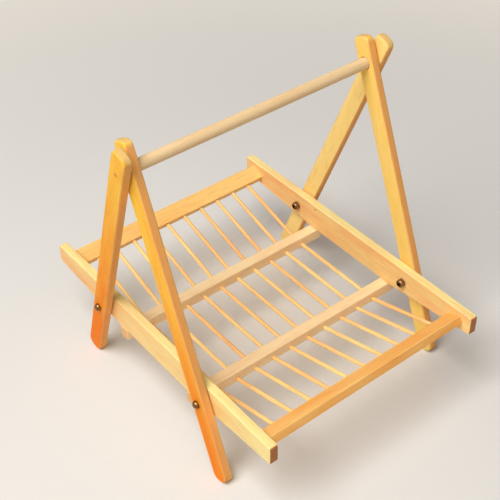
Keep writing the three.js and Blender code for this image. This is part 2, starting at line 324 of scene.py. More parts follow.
edge_wear_and_highlight_group, given, made = new_tree("edge_wear_and_highlight", "ShaderNodeTree", [
    ("Arris", FLOAT), ("Grain", VECTOR), ("Patch Length", FLOAT, 0.02),
], [("Wear And Highlight", FLOAT)])
tree = edge_wear_and_highlight_group
patches = noise(tree, stretched(tree, given["Grain"], given["Patch Length"], EDGE_PATCH_WIDTH))
tree.links.new(maths(tree, "MULTIPLY", given["Arris"], between(tree, patches, *EDGE_PATCH_RANGE)), made["Wear And Highlight"])
print("groups", end_group.name, edge_wear_and_highlight_group.name)

# %% [markdown]
# ## Bamboo finishes
# All wood here is bamboo under a thin satin varnish, but it comes in several tones: pale boards and rods,
# honey rails, lighter bars, amber legs and a cream dowel. One function builds a finish from the groups
# above and two or three colours, from the light to the deep side of its tone. Five materials drawn one by
# one would soon differ where they should not.
# A tone attribute moves a point towards the deep side, as strips from different canes differ, and on the
# boards and legs also as painted shade. The attribute knot says where a piece has a small brown speck, and
# one more attribute is 1 on the narrow sides of a leg, which are tinted a deeper orange as painted shade.

# %% Function for bamboo finishes
KNOT_COLOUR = srgb(128, 76, 36)
KNOT_SIZE = 0.0010
KNOT_CORE_SHARE = 0.4
NARROW_SIDE_SHADE_COLOUR = srgb(240, 167, 100)
NARROW_SIDE_SHADE_SHARE, DASH_SHARE, EDGE_WEAR_AND_HIGHLIGHT_SHARE, END_SHARE, PORE_SHARE = 0.85, 0.45, 0.6, 0.85, 0.45
FIBRE_ROUGHNESS, END_ROUGHNESS = 0.12, 0.22
BUMP = {"Strength": 0.25, "Distance": 0.0002}
VARNISH = {"Coat Weight": 0.03, "Coat Roughness": 0.28}


def read_attribute(tree, name):
    return add_node(tree, "ShaderNodeAttribute", attribute_name=name).outputs


def use_group(tree, group, inputs):
    return add_node(tree, "ShaderNodeGroup", inputs, node_tree=group).outputs


def mix_colours(tree, factor, first, second):
    return add_node(tree, "ShaderNodeMix", {0: factor, 6: first, 7: second}, data_type="RGBA").outputs[2]


def tinted(tree, colour, mask, share, tint):
    """The colour with a share of the tint where the mask is 1."""
    return mix_colours(tree, maths(tree, "MULTIPLY", mask, share), colour, tint)


def bamboo(name, tones, dash_colour, end_colour, edge_wear_and_highlight_colour, contrast=0.45, gloss=0.42, shine=0.20):
    """A varnished bamboo whose colour runs through its tones, from the light one to the deep one."""
    material, tree, shader = new_material(name)
    grain = read_attribute(tree, "grain")["Vector"]
    along = read_attribute(tree, "along")["Vector"]
    tone_and_shade = read_attribute(tree, "tone_and_shade")["Fac"]
    narrow_side_shade = read_attribute(tree, "narrow_side_shade")["Fac"]
    fibres = use_group(tree, grain_group, {"Grain": grain})
    ends = use_group(tree, end_group, {"Grain": grain, "Along": along})
    edge_wear_and_highlight_mask = use_group(tree, edge_wear_and_highlight_group, {"Grain": grain, "Arris": read_attribute(tree, "arris")["Fac"]})

    # The tone moves the colour deeper, partly at random and partly as painted shade.
    depth = maths(tree, "MULTIPLY_ADD", fibres["Tone"], contrast, tone_and_shade)
    colour = tones[0]
    for step, deeper in enumerate(tones[1:]):
        share = maths(tree, "MULTIPLY_ADD", depth, len(tones) - 1, -step)
        colour = mix_colours(tree, share, colour, deeper)
    # Narrow leg sides take a deeper orange here, as painted shade.
    colour = tinted(tree, colour, narrow_side_shade, NARROW_SIDE_SHADE_SHARE, NARROW_SIDE_SHADE_COLOUR)
    colour = tinted(tree, colour, fibres["Dashes"], DASH_SHARE, dash_colour)
    # The paler edge colour is partly wear and partly painted highlight.
    colour = tinted(tree, colour, edge_wear_and_highlight_mask["Wear And Highlight"], EDGE_WEAR_AND_HIGHLIGHT_SHARE, edge_wear_and_highlight_colour)
    colour = tinted(tree, colour, ends["End"], END_SHARE, end_colour)
    pores = maths(tree, "MULTIPLY", ends["Pores"], ends["End"])
    colour = tinted(tree, colour, pores, PORE_SHARE, dash_colour)
    to_knot = vector_maths(tree, "DISTANCE", grain, read_attribute(tree, "knot")["Vector"])
    speck = between(tree, to_knot, KNOT_SIZE, KNOT_SIZE * KNOT_CORE_SHARE)
    tree.links.new(mix_colours(tree, speck, colour, KNOT_COLOUR), shader.inputs["Base Color"])

    rough = maths(tree, "MULTIPLY_ADD", fibres["Tone"], FIBRE_ROUGHNESS, gloss)
    rough = maths(tree, "MULTIPLY_ADD", ends["End"], END_ROUGHNESS, rough)
    tree.links.new(rough, shader.inputs["Roughness"])
    bump = add_node(tree, "ShaderNodeBump", {**BUMP, "Height": fibres["Height"]})
    tree.links.new(bump.outputs["Normal"], shader.inputs["Normal"])
    for socket, value in {**VARNISH, "Specular IOR Level": shine}.items():
        shader.inputs[socket].default_value = value
    return material


print("bamboo function ready")

# %% [markdown]
# ## The five bamboos
# Each finish lists its tones, then the colours of its dashes, cut ends and edges, where wear and a painted
# highlight meet. The legs have three tones, because their outer faces go from pale gold at the top to deep
# orange at the feet, as painted shade. Two separate materials for the upper and lower half would show a seam.

# %% Bamboo finishes
pale_bamboo = bamboo("pale_bamboo", [srgb(255, 233, 156), srgb(250, 170, 106)],
                     srgb(200, 130, 62), srgb(160, 76, 36), srgb(255, 240, 192))
honey_bamboo = bamboo("honey_bamboo", [srgb(254, 208, 128), srgb(246, 154, 54)],
                      srgb(190, 106, 36), srgb(232, 178, 104), srgb(255, 226, 164))
light_honey = bamboo("light_honey_bamboo", [srgb(255, 226, 178), srgb(250, 192, 130)],
                     srgb(200, 128, 66), srgb(236, 188, 124), srgb(255, 232, 190))
# The deep orange third tone is reached only at the legs' feet, as painted shade.
amber_bamboo = bamboo("amber_bamboo", [srgb(255, 223, 142), srgb(254, 203, 74), srgb(250, 130, 2)],
                      srgb(204, 100, 22), srgb(230, 194, 124), srgb(252, 206, 116), contrast=0.18, shine=0.06)
cream_bamboo = bamboo("cream_bamboo", [srgb(238, 208, 162), srgb(222, 180, 126)],
                      srgb(196, 142, 86), srgb(222, 182, 130), srgb(252, 234, 200))
print("5 bamboo finishes")

# %% [markdown]
# ## Plated steel
# The screws and cap nuts are nickel-plated steel, coloured darker and browner than bare plating as painted
# reflection of dark surroundings. A mirror finish in one value would look like plastic chrome, so a noise
# varies
# the gloss, as thin plating and handling do. The cross recess of a screw is darkened and dulled as painted
# shade:
# the attribute recess is 1 there. The cap nuts are a darker copy of the same metal, as painted reflection,
# and the pins in the dowel's ends are plain wire, browned by age, so the same function makes two more
# finishes.

# %% Plated steel
RECESS_SHADE_COLOUR = srgb(40, 30, 22)
RECESS_DULLING = 0.35
CLOUD_SCALE = 900.0
CLOUD_DETAIL = 3.0
CLOUD_RANGE = (0.42, 0.75)
CLOUD_ROUGHNESS = 0.20


def metal(name, bright, tarnished, gloss, metallic=1.0):
    """A metal that clouds from its bright to its tarnished colour, with painted shade in its recesses."""
    material, tree, shader = new_material(name)
    shader.inputs["Metallic"].default_value = metallic
    place = add_node(tree, "ShaderNodeTexCoord").outputs["Object"]
    cloud = noise(tree, vector_maths(tree, "MULTIPLY", place, [CLOUD_SCALE] * 3), CLOUD_DETAIL)
    recess_shade = read_attribute(tree, "recess")["Fac"]
    colour = mix_colours(tree, between(tree, cloud, *CLOUD_RANGE), bright, tarnished)
    # The recess mask mixes in a dark colour as painted shade.
    tree.links.new(mix_colours(tree, recess_shade, colour, RECESS_SHADE_COLOUR), shader.inputs["Base Color"])
    rough = maths(tree, "MULTIPLY_ADD", cloud, CLOUD_ROUGHNESS, gloss)
    tree.links.new(maths(tree, "MULTIPLY_ADD", recess_shade, RECESS_DULLING, rough), shader.inputs["Roughness"])
    return material


# Both metals are darker and browner than bare plating as painted reflection of dark surroundings; the nuts'
# copy is darker still.
steel = metal("plated_steel", srgb(154, 123, 92), srgb(94, 71, 50), gloss=0.12)
steel_with_painted_dark = metal("steel_with_painted_dark", srgb(138, 102, 62), srgb(78, 52, 30), gloss=0.12)
browned_steel = metal("browned_steel", srgb(224, 146, 62), srgb(196, 114, 42), gloss=0.45, metallic=0.1)
print("materials", steel.name, steel_with_painted_dark.name, browned_steel.name)

# %% [markdown]
# ## Strips
# Boards, legs, rails and bars are all the same stock: flat bamboo strip, sawn to an outline and sanded. So
# one function makes them all. It stands the outline up as a block in the strip's own axes, length, width
# and thickness, and a Bevel modifier rounds the arrises by edge weight. Cubes scaled to size would have
# knife edges, which no sanded strip has and which catch no light.

# %% Helpers for strips
MM = 0.001
ARRIS = 0.9 * MM
ARRIS_STEPS = 4
CORNER_STEPS = 10


def softened(corners):
    """A closed outline through corners, each with the distance from which it curves round."""
    outline = []
    for i, (corner, reach) in enumerate(corners):
        before, after = corners[i - 1][0], corners[(i + 1) % len(corners)][0]
        if reach == 0:
            outline.append(corner)
            continue
        start = corner + (before - corner).normalized() * reach
        end = corner + (after - corner).normalized() * reach
        for step in range(CORNER_STEPS + 1):
            t = step / CORNER_STEPS
            outline.append(start.lerp(corner, t).lerp(corner.lerp(end, t), t))
    return outline


def mesh_from(bm, name):
    mesh = bpy.data.meshes.new(name)
    bm.to_mesh(mesh)
    bm.free()
    return mesh


def strip(name, outline, thickness, weight_of, arris=ARRIS):
    """A block of that outline, with its edges rounded where weight_of(middle, direction) says."""
    bm = bmesh.new()
    weights = bm.edges.layers.float.new("bevel_weight_edge")
    low = [bm.verts.new((p.x, p.y, -thickness / 2)) for p in outline]
    high = [bm.verts.new((p.x, p.y, thickness / 2)) for p in outline]
    bm.faces.new(low[::-1])
    bm.faces.new(high)
    for i in range(len(outline)):
        bm.faces.new((low[i - 1], low[i], high[i], high[i - 1]))
    for edge in bm.edges:
        a, b = (v.co for v in edge.verts)
        edge[weights] = weight_of((a + b) / 2, (b - a).normalized())
    made = put_in_scene(name, mesh_from(bm, name))
    bevel = made.modifiers.new("arris", "BEVEL")
    bevel.width = arris
    bevel.segments = ARRIS_STEPS
    bevel.limit_method = "WEIGHT"
    return made


print("strip helpers ready, arris", ARRIS, "m")

# %% [markdown]
# ## Drilled and chiselled seats
# Rods, tenons, screws and pins all sit in holes. A joiner makes these after the strip is sanded, so their
# rims stay crisp. The same is done here: each hole is a cutter, and a Boolean modifier takes it out of the
# rounded strip. Holes drawn into the outline would always go right through.

# %% Helpers for seats
DRILL_SIDES = 40


def block(size, place):
    """A cutter or an added block of that size, placed by a matrix."""
    bm = bmesh.new()
    bmesh.ops.create_cube(bm, size=1.0, matrix=place @ Matrix.Diagonal((*size, 1.0)))
    return mesh_from(bm, "block")


def drill(radius, start, end):
    """A round cutter from one point to another."""
    start, end = Vector(start), Vector(end)
    axis = end - start
    place = Matrix.Translation((start + end) / 2) @ axis.to_track_quat("Z", "Y").to_matrix().to_4x4()
    bm = bmesh.new()
    bmesh.ops.create_cone(bm, cap_ends=True, segments=DRILL_SIDES, radius1=radius, radius2=radius,
                          depth=axis.length, matrix=place)
    return mesh_from(bm, "drill")


def settle(piece):
    """Turns what the modifiers show into the piece's own mesh."""
    shown = piece.evaluated_get(bpy.context.evaluated_depsgraph_get())
    mesh = bpy.data.meshes.new_from_object(shown)
    piece.modifiers.clear()
    piece.data = mesh
    return mesh


def carve(piece, meshes, operation="DIFFERENCE"):
    """Cuts the meshes out of a piece, or adds them to it."""
    tools = [put_in_scene("tool", mesh) for mesh in meshes]
    for tool in tools:
        modifier = piece.modifiers.new("seat", "BOOLEAN")
        modifier.operation = operation
        modifier.solver = "EXACT"
        modifier.object = tool
    settle(piece)
    for tool in tools:
        bpy.data.objects.remove(tool)


print("seat helpers ready, drills with", DRILL_SIDES, "sides")

# %% [markdown]
# ## Dressing a piece
# Every piece is handed over in the same way: it gets one material, it rides on one body, and the solids
# that it replaces are hidden.
# Smooth shading would round flat faces over to their edges. The Weighted Normal modifier keeps them flat.

# %% Helpers that dress a piece
SHARP_ANGLE = math.radians(38)


def smooth_faces(piece):
    mesh = piece.data
    mesh.polygons.foreach_set("use_smooth", [True] * len(mesh.polygons))
    mesh.set_sharp_from_angle(angle=SHARP_ANGLE)
    normals = piece.modifiers.new("flat faces", "WEIGHTED_NORMAL")
    normals.keep_sharp = True
    settle(piece)


def dress(piece, body, slot, material, *nodes):
    piece.data.materials.clear()
    piece.data.materials.append(material)
    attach(piece, body)
    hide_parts(*nodes)
    print(piece.name, len(piece.data.polygons), "faces, for", len(nodes), "solids")


print("dressing helpers ready")

# %% [markdown]
# ## Giving a strip its grain and its place
# A strip is made lying in its own axes, which is exactly what the grain needs. So its coordinates are
# stored as the grain attribute first, with a shift of its own so that no two strips repeat, and only then
# is the mesh moved to its place on the basket. The object stays at the origin.
# The other attributes are stored at the same time, because the arrises and the narrow sides are easy to tell
# there: they lie near the edge of the thickness or of the width.

# %% Helper that finishes a strip
FAR_AWAY = Vector((9.0, 9.0, 9.0))


def store(mesh, name, kind, values):
    attribute = mesh.attributes.get(name) or mesh.attributes.new(name, kind, "POINT")
    field = "vector" if kind == "FLOAT_VECTOR" else "value"
    attribute.data.foreach_set(field, values)


def finish_strip(piece, place, thickness, shift, tone_and_shade_of, knot=None, arris=ARRIS, narrow_side_width=math.inf):
    """Stores the strip's attributes in its own axes, then moves its mesh to its place."""
    mesh = settle(piece)
    points = [v.co.copy() for v in mesh.vertices]
    shift = Vector(shift)
    speck = shift + knot if knot else FAR_AWAY
    along = (place.to_3x3() @ Vector((1, 0, 0))).normalized()
    store(mesh, "grain", "FLOAT_VECTOR", [c for p in points for c in p + shift])
    store(mesh, "along", "FLOAT_VECTOR", list(along) * len(points))
    store(mesh, "knot", "FLOAT_VECTOR", list(speck) * len(points))
    store(mesh, "tone_and_shade", "FLOAT", [tone_and_shade_of(p) for p in points])
    depth = [(thickness / 2 - abs(p.z)) / arris for p in points]
    store(mesh, "arris", "FLOAT", [max(0.0, 1 - abs(2 * d - 1)) for d in depth])
    past_arris = [(abs(p.y) - narrow_side_width / 2) / arris + 1 for p in points]
    store(mesh, "narrow_side_shade", "FLOAT", [min(1.0, max(0.0, share)) for share in past_arris])
    mesh.transform(place)
    if place.to_3x3().determinant() < 0:
        mesh.flip_normals()
    smooth_faces(piece)


print("finishing helper ready")

# %% [markdown]
# ## Shape of a side board
# Each long side is one board. Its rim is straight, its lower edge is level in the middle and rises to both
# ends, and the upper corners are well rounded. The outline holds all of that, so the board is a strip on
# edge: its length runs along Y, its width up and its thickness along X.
# It is mortised for the end rails and drilled for the pivot screws, at places that come from the solids.

# %% Outline and seats of a board
ENDS = (("front", -1), ("back", 1))
BOARD_FLAT = 51 * MM
BOARD_MIDDLE_HEIGHT = 25.5 * MM
BOARD_END_HEIGHT = 16.9 * MM
RIM_CORNER, LOWER_CORNER, BEND = 3.0 * MM, 1.4 * MM, 6.0 * MM
RAIL_TILT = 26
TENON = Vector((4, 8, 3.6)) * MM
SCREW_HOLE = 2.1 * MM
SEAT_GAP = 0.06 * MM

joints = {joint["name"]: joint for joint in frame["joints"]}
pivot = Vector(joints["front_frame_fold"]["pos_m"])
rail_low, rail_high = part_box("back_rail")
rail_middle = (rail_low + rail_high) / 2


def board_outline(half):
    """The outline of a board that reaches half its length both ways, measured down from its rim."""
    return softened([
        (Vector((-half, 0)), RIM_CORNER),
        (Vector((-half, -BOARD_END_HEIGHT)), LOWER_CORNER),
        (Vector((-BOARD_FLAT, -BOARD_MIDDLE_HEIGHT)), BEND),
        (Vector((BOARD_FLAT, -BOARD_MIDDLE_HEIGHT)), BEND),
        (Vector((half, -BOARD_END_HEIGHT)), LOWER_CORNER),
        (Vector((half, 0)), RIM_CORNER)])


def board_seats(rim, thickness, inner):
    """Cutters for a mortise in the inner face and a screw hole, near both ends of a board."""
    mortise = (TENON.y + SEAT_GAP, TENON.z + SEAT_GAP, 2 * TENON.x + SEAT_GAP)
    seats = []
    for _, end in ENDS:
        rail_end = Matrix.Translation((end * rail_middle.y, rail_middle.z - rim, inner))
        seats.append(block(mortise, rail_end @ turned(end * RAIL_TILT, "Z")))
        hole = Vector((end * pivot.y, pivot.z - rim, thickness))
        seats.append(drill(SCREW_HOLE, hole, hole - Vector((0, 0, 2 * thickness))))
    return seats


print("rails", 2 * round(rail_middle.y, 4), "m apart, screws", -2 * round(pivot.y, 4), "m apart")

# %% [markdown]
# ## Side boards
# The rim is painted paler, as painted light from above. The face inside the trough is painted deeper than
# the outer one, and both deeper towards the back, as painted shade. A tone for every point says so. A painted
# picture for each board could say it too, but it would have to be painted again after every change of shape.
# The right board has one small brown speck on its inner face.

# %% Side boards
SIDES = (("left", -1), ("right", 1))
MOSTLY = 0.5
ON_EDGE = Matrix(((0, 0, 1, 0), (1, 0, 0, 0), (0, 1, 0, 0), (0, 0, 0, 1)))
BOARD_SPECKS = {"right": Vector((43.5, -4.1, -3.7)) * MM}
BOARD_SHIFT = (0.3, 0.11, 0.05)
# These tones paint light on the rim and shade in the trough and towards the back.
BOARD_RIM_PAINTED_LIGHT = -0.10
BOARD_OUTER_SHADE_TONES = (-0.14, 0.34)
BOARD_INNER_SHADE_TONES = (0.20, 0.38)


def outline_edges(middle, direction):
    """Rounds the edges of the outline, and none of those that run through the thickness."""
    return 0.0 if abs(direction.z) > MOSTLY else 1.0


def board_light_and_shade(p, half, inner_side):
    """Painted light on the rim, and painted shade inside the trough and towards the back."""
    if p.y > -ARRIS / 2:
        return BOARD_RIM_PAINTED_LIGHT
    front, back = BOARD_INNER_SHADE_TONES if p.z * inner_side > 0 else BOARD_OUTER_SHADE_TONES
    return front + (back - front) * (p.x / half + 1) / 2


for side, sign in SIDES:
    low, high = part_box("side_board_" + side)
    rim = high.z
    half = high.y
    thickness = high.x - low.x
    board = strip(side + "_board", board_outline(half), thickness, outline_edges)
    carve(board, board_seats(rim, thickness, -sign * thickness / 2))
    place = Matrix.Translation(((low.x + high.x) / 2, 0, rim)) @ ON_EDGE
    shift = (BOARD_SHIFT[0] * sign, BOARD_SHIFT[1], BOARD_SHIFT[2] * sign)
    finish_strip(board, place, thickness, shift, lambda p: board_light_and_shade(p, half, -sign), BOARD_SPECKS.get(side))
    dress(board, "tray", "pale_bamboo", pale_bamboo, "side_board_" + side)

# %% [markdown]
# ## Round rods
# Thirty thin rods make the floor of the trough, ten in each of three rows, and a thicker one is the
# carrying dowel. Copying one cylinder thirty times would give thirty equal rods. In Geometry Nodes one rod
# is drawn along a line, set out on a row of points and turned to lie between its two seats.
# The first part of the tree draws that rod, standing on its start, and stores its grain.

# %% Geometry Nodes tree for rods, first part
INT, GEOMETRY, MATERIAL = "NodeSocketInt", "NodeSocketGeometry", "NodeSocketMaterial"

rod_tree, given, made = new_tree("round_rods", "GeometryNodeTree", [
    ("Geometry", GEOMETRY), ("Start", VECTOR), ("End", VECTOR), ("Count", INT, 1), ("Spacing", FLOAT, 0.01),
    ("Diameter", FLOAT, 0.003), ("Thickness Spread", FLOAT, 0.0),
    ("Tone", FLOAT, 0.0), ("Tone Spread", FLOAT, 0.0),
    ("Sides", INT, 20), ("Seed", INT, 0), ("Material", MATERIAL),
], [("Geometry", GEOMETRY)])
tree = rod_tree


def name_attribute(tree, geometry, name, kind, value, domain="POINT"):
    inputs = {"Geometry": geometry, "Name": name, "Value": value}
    return add_node(tree, "GeometryNodeStoreNamedAttribute", inputs, data_type=kind, domain=domain).outputs[0]


length = vector_maths(tree, "DISTANCE", given["Start"], given["End"])
direction = vector_maths(tree, "NORMALIZE", vector_maths(tree, "SUBTRACT", given["End"], given["Start"]))
line = add_node(tree, "GeometryNodeCurvePrimitiveLine", {
    "Start": (0, 0, 0), "End": combine(tree, 0.0, 0.0, length)})
radius = maths(tree, "DIVIDE", given["Diameter"], 2.0)
ring = add_node(tree, "GeometryNodeCurvePrimitiveCircle", {"Resolution": given["Sides"], "Radius": radius})
rod = add_node(tree, "GeometryNodeCurveToMesh", {
    "Curve": line.outputs[0], "Profile Curve": ring.outputs[0], "Fill Caps": True}).outputs[0]
across, thick, along = separate(tree, add_node(tree, "GeometryNodeInputPosition").outputs[0])
rod = name_attribute(tree, rod, "grain", "FLOAT_VECTOR", combine(tree, along, across, thick))
rod = name_attribute(tree, rod, "along", "FLOAT_VECTOR", direction)
rod = name_attribute(tree, rod, "knot", "FLOAT_VECTOR", tuple(FAR_AWAY))
print("one rod takes", len(rod_tree.nodes), "nodes")

# %% [markdown]
# ## A row of rods
# No two rods of a real row are alike. Each copy gets its own small change of thickness and tone and its own
# stretch of grain, from a fixed seed, so that every run makes the same row. Tone and grain shift are stored
# on the copies while they are still instances, and Realize Instances hands them on to each rod's points.

# %% Geometry Nodes tree for rods, second part
GRAIN_SHIFT_RANGE = 4.0


def random_number(tree, low, high, seed):
    return add_node(tree, "FunctionNodeRandomValue", {2: low, 3: high, "Seed": seed}).outputs[1]


def read_named(tree, name, kind):
    return add_node(tree, "GeometryNodeInputNamedAttribute", {"Name": name}, data_type=kind).outputs[0]


first = maths(tree, "MULTIPLY", maths(tree, "SUBTRACT", given["Count"], 1.0), -0.5)
first_place = combine(tree, maths(tree, "MULTIPLY", first, given["Spacing"]), 0.0, 0.0)
row = add_node(tree, "GeometryNodeMeshLine", {
    "Count": given["Count"], "Start Location": vector_maths(tree, "ADD", given["Start"], first_place),
    "Offset": combine(tree, given["Spacing"], 0.0, 0.0)})
turn = add_node(tree, "FunctionNodeAlignRotationToVector", {"Vector": direction}, axis="Z").outputs[0]
thinnest = maths(tree, "SUBTRACT", 1.0, given["Thickness Spread"])
swell = random_number(tree, thinnest, 1.0, given["Seed"])
rods = add_node(tree, "GeometryNodeInstanceOnPoints", {
    "Points": row.outputs[0], "Instance": rod, "Rotation": turn,
    "Scale": combine(tree, swell, swell, 1.0)}).outputs[0]
tone_seed = maths(tree, "ADD", given["Seed"], 1.0)
tone_shift = random_number(tree, 0.0, given["Tone Spread"], tone_seed)
own_tone = maths(tree, "ADD", given["Tone"], tone_shift)
rods = name_attribute(tree, rods, "tone_and_shade", "FLOAT", own_tone, "INSTANCE")
shift_seed = maths(tree, "ADD", given["Seed"], 2.0)
shift = random_number(tree, 0.0, GRAIN_SHIFT_RANGE, shift_seed)
rods = name_attribute(tree, rods, "shift", "FLOAT", shift, "INSTANCE")
rods = add_node(tree, "GeometryNodeRealizeInstances", {"Geometry": rods}).outputs[0]
own_shift = read_named(tree, "shift", "FLOAT")
own_grain = vector_maths(tree, "ADD", read_named(tree, "grain", "FLOAT_VECTOR"),
                         combine(tree, own_shift, own_shift, 0.0))
rods = name_attribute(tree, rods, "grain", "FLOAT_VECTOR", own_grain)
rods = add_node(tree, "GeometryNodeSetMaterial", {"Geometry": rods, "Material": given["Material"]}).outputs[0]
tree.links.new(rods, made["Geometry"])
print("tree", rod_tree.name, "with", len(rod_tree.nodes), "nodes")

# %% [markdown]
# ## Running a tree
# A tree shows its result through a modifier. A modifier's inputs go by internal names, so the helper looks
# up each socket by the name that is written on it. The result is then kept as a plain mesh, because the
# dowel still has to be drilled and the faces have to be smoothed.

# %% Helpers that run a tree
def grow(name, base, tree, values):
    """Runs a Geometry Nodes tree on a mesh and keeps the result as a plain mesh."""
    made = put_in_scene(name, base)
    modifier = made.modifiers.new(tree.name, "NODES")
    modifier.node_group = tree
    for item in tree.interface.items_tree:
        if item.in_out == "INPUT" and item.name in values:
            modifier[item.identifier] = values[item.name]
    settle(made)
    return made


def grow_rods(name, start, end, diameter, material, **values):
    return grow(name, bpy.data.meshes.new(name), rod_tree, {
        "Start": tuple(start), "End": tuple(end), "Diameter": diameter, "Material": material, **values})


print("tree runner ready")

# %% [markdown]
# ## Floor rods
# The middle row lies level between the two bars. The outer rows slope from a bar up to an end rail.
# The places of their seats come from the solids: a rod enters a bar a little above its underside, and
# enters a rail in the middle of its lower narrow edge. Typing the six ends in as numbers would be shorter,
# but then the rods would miss their holes as soon as a rail is moved.

# %% Floor rods
ROD_COUNT = 10
ROD_SPACING = 163 / (ROD_COUNT - 1) * MM
ROD_DIAMETER = 3.4 * MM
ROD_RISE = 3.1 * MM
ROD_BAR_SEAT = 2.5 * MM
ROD_RAIL_SEAT = 4.5 * MM
ROD_VARIETY = {"Thickness Spread": 0.05, "Tone": 0.08, "Tone Spread": 0.30}
ROD_SEED_STEP = 11
RAIL_WIDTH = 14.7 * MM

bar_low, bar_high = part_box("back_mid_bar")
rod_z = bar_low.z + ROD_RISE
tilt = math.radians(RAIL_TILT)
bar_mouth = Vector((0, bar_high.y, rod_z))
rail_mouth = rail_middle - Vector((0, math.cos(tilt), math.sin(tilt))) * (RAIL_WIDTH / 2)
rail_mouth.x = 0
slope = (rail_mouth - bar_mouth).normalized()
rod_low = bar_mouth - slope * ROD_BAR_SEAT
rod_high = rail_mouth + slope * ROD_RAIL_SEAT
level_end = Vector((0, bar_low.y + ROD_BAR_SEAT, rod_z))
to_front = Matrix.Diagonal((1, -1, 1))
ROD_ROWS = {
    "back": (rod_low, rod_high),
    "middle": (to_front @ level_end, level_end),
    "front": (to_front @ rod_low, to_front @ rod_high),
}
for number, (row_name, (start, end)) in enumerate(ROD_ROWS.items()):
    rods = grow_rods(row_name + "_rods", start, end, ROD_DIAMETER, pale_bamboo, Count=ROD_COUNT,
                     Spacing=ROD_SPACING, Seed=ROD_SEED_STEP * number, **ROD_VARIETY)
    smooth_faces(rods)
    dress(rods, "tray", "pale_bamboo", pale_bamboo,
          *["%s_slat_%02d" % (row_name, i + 1) for i in range(ROD_COUNT)])

# %% [markdown]
# ## End rails
# An end rail is a flat strip between the boards, tilted so that it carries on the slope of its rods. A stub
# tenon on each end sits in the board. One long block joined to the strip makes both tenons at once.
# The rail is drilled for its rods, and the drills are placed from the same seats as the rods, so every rod
# meets its hole.

# %% Function for end rails
RAIL_THICKNESS = 7.3 * MM
RAIL_TONES = {"front": (0.26, 0.28), "back": (0.02, -0.34)}
RAIL_SHIFT = (0.7, 0.2, 0.3)
ROD_PLACES = [(i - (ROD_COUNT - 1) / 2) * ROD_SPACING for i in range(ROD_COUNT)]

inner_width = 2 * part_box("side_board_right")[0].x


def long_edges(middle, direction):
    return 1.0 if abs(direction.x) > MOSTLY else 0.0


def rectangle(length, width):
    return [Vector((x * length / 2, y * width / 2)) for x, y in ((-1, -1), (1, -1), (1, 1), (-1, 1))]


def rod_drills(row_name, place):
    """Cutters for a row's rods, in the axes of the piece that stands at that place."""
    back = place.inverted()
    drills = []
    for x in ROD_PLACES:
        start, end = [back @ (rod_end + Vector((x, 0, 0))) for rod_end in ROD_ROWS[row_name]]
        drills.append(drill(ROD_DIAMETER / 2 + SEAT_GAP, start, end))
    return drills


def add_rail(end_name, end):
    place = Matrix.Translation((0, end * rail_middle.y, rail_middle.z)) @ turned(end * RAIL_TILT, "X")
    outline = rectangle(inner_width - 2 * SEAT_GAP, RAIL_WIDTH)
    rail = strip(end_name + "_end_rail", outline, RAIL_THICKNESS, long_edges)
    tenons = block((inner_width + 2 * TENON.x - SEAT_GAP, TENON.y, TENON.z), Matrix())
    carve(rail, [tenons], "UNION")
    carve(rail, rod_drills(end_name, place))
    left_tone, right_tone = RAIL_TONES[end_name]
    finish_strip(rail, place, RAIL_THICKNESS, (RAIL_SHIFT[0] * end, *RAIL_SHIFT[1:]),
                 lambda p: left_tone + (right_tone - left_tone) * (p.x / inner_width + 0.5))
    dress(rail, "tray", "honey_bamboo", honey_bamboo, end_name + "_rail")


print("rails are", round(inner_width, 4), "m long between the boards")

# %% [markdown]
# ## Bars
# A bar is a squarer strip under the level part of the boards, flush with their outer faces. It carries the
# rods of two rows, so it is drilled from both sides. Its ends are in sight, and so all of its edges are
# rounded. Rails and bars are then made in turn, first those in front.

# %% End rails and bars
BAR_TONE = -0.10
BAR_SHIFT = (0.9, 0.4, 0.1)


def all_edges(middle, direction):
    return 1.0


def add_bar(end_name, end):
    low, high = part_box(end_name + "_mid_bar")
    size = high - low
    place = Matrix.Translation((low + high) / 2)
    bar = strip(end_name + "_cross_bar", rectangle(size.x, size.y), size.z, all_edges)
    settle(bar)
    carve(bar, rod_drills(end_name, place) + rod_drills("middle", place))
    finish_strip(bar, place, size.z, (BAR_SHIFT[0] * end, *BAR_SHIFT[1:]), lambda p: BAR_TONE)
    dress(bar, "tray", "honey_bamboo", light_honey, end_name + "_mid_bar")


for end_name, end in ENDS:
    add_rail(end_name, end)
    add_bar(end_name, end)

# %% [markdown]
# ## Shape of a leg
# Each leg is one straight strip, cut square and rounded at both ends, and its tip is sanded rounder than
# its edges. Its own length axis runs from the dowel down to the foot. A leaning leg stands on one corner of
# its foot, which is sanded to a small level flat, so its length follows from how far it leans.
# A front leg is drilled through for the dowel and for its screw. A back leg has a blind seat for the
# dowel's end, a hole for the pin and a wider one for the sleeve of its nut.

# %% Outline and drills of a leg
LEG_WIDTH = 15.8 * MM
LEG_THICKNESS = 7.4 * MM
LEG_TIP = 21.2 * MM
LEG_TIP_REACH = 6.2 * MM
FOOT_REACH = 7.4 * MM
FOOT_FLAT_DEPTH = 0.45 * MM
LEG_ARRIS = 1.2 * MM
TIP_ARRIS = 2.0 * MM
DOWEL_HOLE = 5.2 * MM
DOWEL_SEAT = 4.3 * MM
SLEEVE_HOLE = 2.9 * MM
PIN_HOLE = 1.1 * MM
PIN_HEAD_HOLE = 1.74 * MM
PIN_HEAD_DEPTH = 0.9 * MM

handle = Vector(joints["back_leg_left_swing"]["pos_m"])


def leg_edges(middle, direction):
    """Edges are eased a little, and the tip is rounded more."""
    if abs(direction.z) > MOSTLY:
        return 0.0
    straight = LEG_ARRIS / TIP_ARRIS
    near_tip = min(1.0, max(0.0, (-middle.x - LEG_TIP + 2 * LEG_TIP_REACH) / LEG_TIP_REACH))
    return straight + (1 - straight) * near_tip


